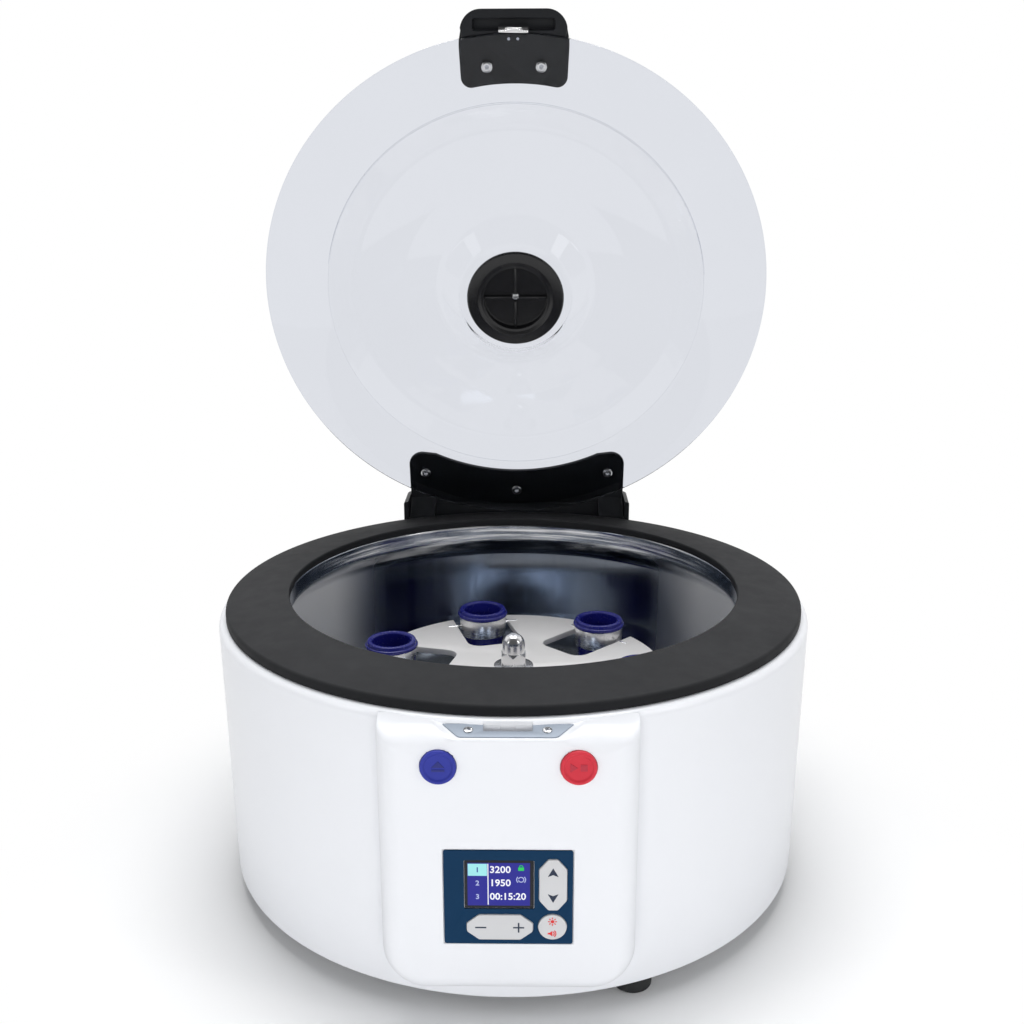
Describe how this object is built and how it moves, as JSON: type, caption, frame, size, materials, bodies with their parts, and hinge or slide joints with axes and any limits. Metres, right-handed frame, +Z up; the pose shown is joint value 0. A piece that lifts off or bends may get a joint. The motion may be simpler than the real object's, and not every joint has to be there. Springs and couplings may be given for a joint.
{
  "type": "benchtop centrifuge",
  "caption": "Round benchtop centrifuge with an open clear lid, a swing-out rotor in a steel bowl, and a raised front panel with buttons, keypad and display.",
  "frame": {"origin": "on the bench under the rotor's axis, at the level of the feet's undersides", "axes": "+Z up along the rotor's axis, -Y towards the control panel, +X to the right of someone who faces the panel"},
  "size_m": [0.4508, 0.4854, 0.662],
  "materials": {
    "white_paint": "satin",
    "black_plastic": "satin",
    "gasket_rubber": "matte",
    "foot_rubber": "matte",
    "polished_steel": "polished",
    "bright_aluminium": "machined",
    "navy_film": "satin",
    "blue_plastic": "gloss",
    "blue_button": "satin",
    "red_button": "satin",
    "grey_key": "satin",
    "clear_plastic": "clear, polished",
    "green_board": "satin",
    "copper_coil": "wound wire",
    "display_glass": "gloss"
  },
  "bodies": {
    "base": {"housing_shell": "white_paint", "base_plate": "polished_steel", "foot_1": "foot_rubber", "foot_2": "foot_rubber", "foot_3": "foot_rubber", "foot_4": "foot_rubber", "rim_gasket": "gasket_rubber", "rotor_bowl": "polished_steel", "hinge_base_block": "black_plastic", "hinge_pin_left": "polished_steel", "hinge_pin_right": "polished_steel", "lock_plate": "polished_steel", "lock_plate_screw_left": "polished_steel", "lock_plate_screw_right": "polished_steel", "keypad_overlay": "navy_film", "display_window": "display_glass", "control_board": "green_board", "motor_body": "black_plastic", "motor_mount": "bright_aluminium", "motor_damper_1": "foot_rubber", "motor_damper_2": "foot_rubber", "motor_damper_3": "foot_rubber", "lock_solenoid": "copper_coil", "power_inlet": "black_plastic"},
    "lid": {"lid_shell": "clear_plastic", "lid_port_cup": "black_plastic", "lid_port_cap": "black_plastic", "lid_port_screw": "polished_steel", "latch_housing": "black_plastic", "latch_striker": "polished_steel", "latch_screw_left": "polished_steel", "latch_screw_right": "polished_steel", "hinge_lid_bracket": "black_plastic", "hinge_screw_left": "polished_steel", "hinge_screw_right": "polished_steel", "hinge_screw_middle": "polished_steel"},
    "rotor": {"motor_shaft": "polished_steel", "rotor_plate": "bright_aluminium", "rotor_washer": "polished_steel", "rotor_nut": "polished_steel"},
    "bucket_1": {"bucket_1_cup": "blue_plastic", "bucket_1_collar": "polished_steel"},
    "bucket_2": {"bucket_2_cup": "blue_plastic", "bucket_2_collar": "polished_steel"},
    "bucket_3": {"bucket_3_cup": "blue_plastic", "bucket_3_collar": "polished_steel"},
    "bucket_4": {"bucket_4_cup": "blue_plastic", "bucket_4_collar": "polished_steel"},
    "bucket_5": {"bucket_5_cup": "blue_plastic", "bucket_5_collar": "polished_steel"},
    "bucket_6": {"bucket_6_cup": "blue_plastic", "bucket_6_collar": "polished_steel"},
    "open_button": {"open_button": "blue_button"},
    "start_stop_button": {"start_stop_button": "red_button"},
    "up_down_key": {"up_down_key": "grey_key"},
    "minus_plus_key": {"minus_plus_key": "grey_key"},
    "settings_key": {"settings_key": "grey_key"},
    "pawl": {"lock_pawl": "polished_steel"},
    "plunger": {"solenoid_plunger": "polished_steel"},
    "power_rocker": {"power_switch": "black_plastic"}
  },
  "joints": [
    {"name": "lid_hinge", "type": "hinge", "parent": "base", "child": "lid", "pos_m": [0, 0.2186, 0.2134], "axis": [1, 0, 0], "range_deg": [0, 75]},
    {"name": "rotor_spin", "type": "hinge", "parent": "base", "child": "rotor", "pos_m": [0, 0, 0.15], "axis": [0, 0, 1], "continuous": true},
    {"name": "bucket_swing_1", "type": "hinge", "parent": "rotor", "child": "bucket_1", "pos_m": [0.07155, 0.07409, 0.153], "axis": [0.7193, -0.6947, 0], "range_deg": [0, 90]},
    {"name": "bucket_swing_2", "type": "hinge", "parent": "rotor", "child": "bucket_2", "pos_m": [-0.02839, 0.09901, 0.153], "axis": [0.9613, 0.2756, 0], "range_deg": [0, 90]},
    {"name": "bucket_swing_3", "type": "hinge", "parent": "rotor", "child": "bucket_3", "pos_m": [-0.09994, 0.02492, 0.153], "axis": [0.2419, 0.9703, 0], "range_deg": [0, 90]},
    {"name": "bucket_swing_4", "type": "hinge", "parent": "rotor", "child": "bucket_4", "pos_m": [-0.07155, -0.07409, 0.153], "axis": [-0.7193, 0.6947, 0], "range_deg": [0, 90]},
    {"name": "bucket_swing_5", "type": "hinge", "parent": "rotor", "child": "bucket_5", "pos_m": [0.02839, -0.09901, 0.153], "axis": [-0.9613, -0.2756, 0], "range_deg": [0, 90]},
    {"name": "bucket_swing_6", "type": "hinge", "parent": "rotor", "child": "bucket_6", "pos_m": [0.09994, -0.02492, 0.153], "axis": [-0.2419, -0.9703, 0], "range_deg": [0, 90]},
    {"name": "open_button_press", "type": "slide", "parent": "base", "child": "open_button", "axis": [0, 1, 0], "range_m": [0, 0.0015], "stiffness_N_per_m": 800, "springref_m": -0.001},
    {"name": "start_stop_button_press", "type": "slide", "parent": "base", "child": "start_stop_button", "axis": [0, 1, 0], "range_m": [0, 0.0015], "stiffness_N_per_m": 800, "springref_m": -0.001},
    {"name": "up_down_key_rock", "type": "hinge", "parent": "base", "child": "up_down_key", "pos_m": [0.0279, -0.238, 0.1082], "axis": [1, 0, 0], "range_deg": [-2, 2], "stiffness_Nm_per_rad": 1},
    {"name": "minus_plus_key_rock", "type": "hinge", "parent": "base", "child": "minus_plus_key", "pos_m": [-0.0054, -0.238, 0.0781], "axis": [0, 0, 1], "range_deg": [-2, 2], "stiffness_Nm_per_rad": 1},
    {"name": "settings_key_press", "type": "slide", "parent": "base", "child": "settings_key", "axis": [0, 1, 0], "range_m": [0, 0.0005], "stiffness_N_per_m": 800, "springref_m": -0.0005},
    {"name": "pawl_slide", "type": "slide", "parent": "base", "child": "pawl", "axis": [0, -1, 0], "range_m": [0, 0.005], "stiffness_N_per_m": 100, "springref_m": -0.003},
    {"name": "plunger_slide", "type": "slide", "parent": "base", "child": "plunger", "axis": [0, -1, 0], "range_m": [0, 0.005]},
    {"name": "power_switch_rock", "type": "hinge", "parent": "base", "child": "power_rocker", "pos_m": [0.0185, 0.2311, 0.06], "axis": [-1, 0, 0], "range_deg": [0, 12]}
  ],
  "couplings": [
    {"joint": "plunger_slide", "follows": "pawl_slide", "ratio": 1}
  ]
}
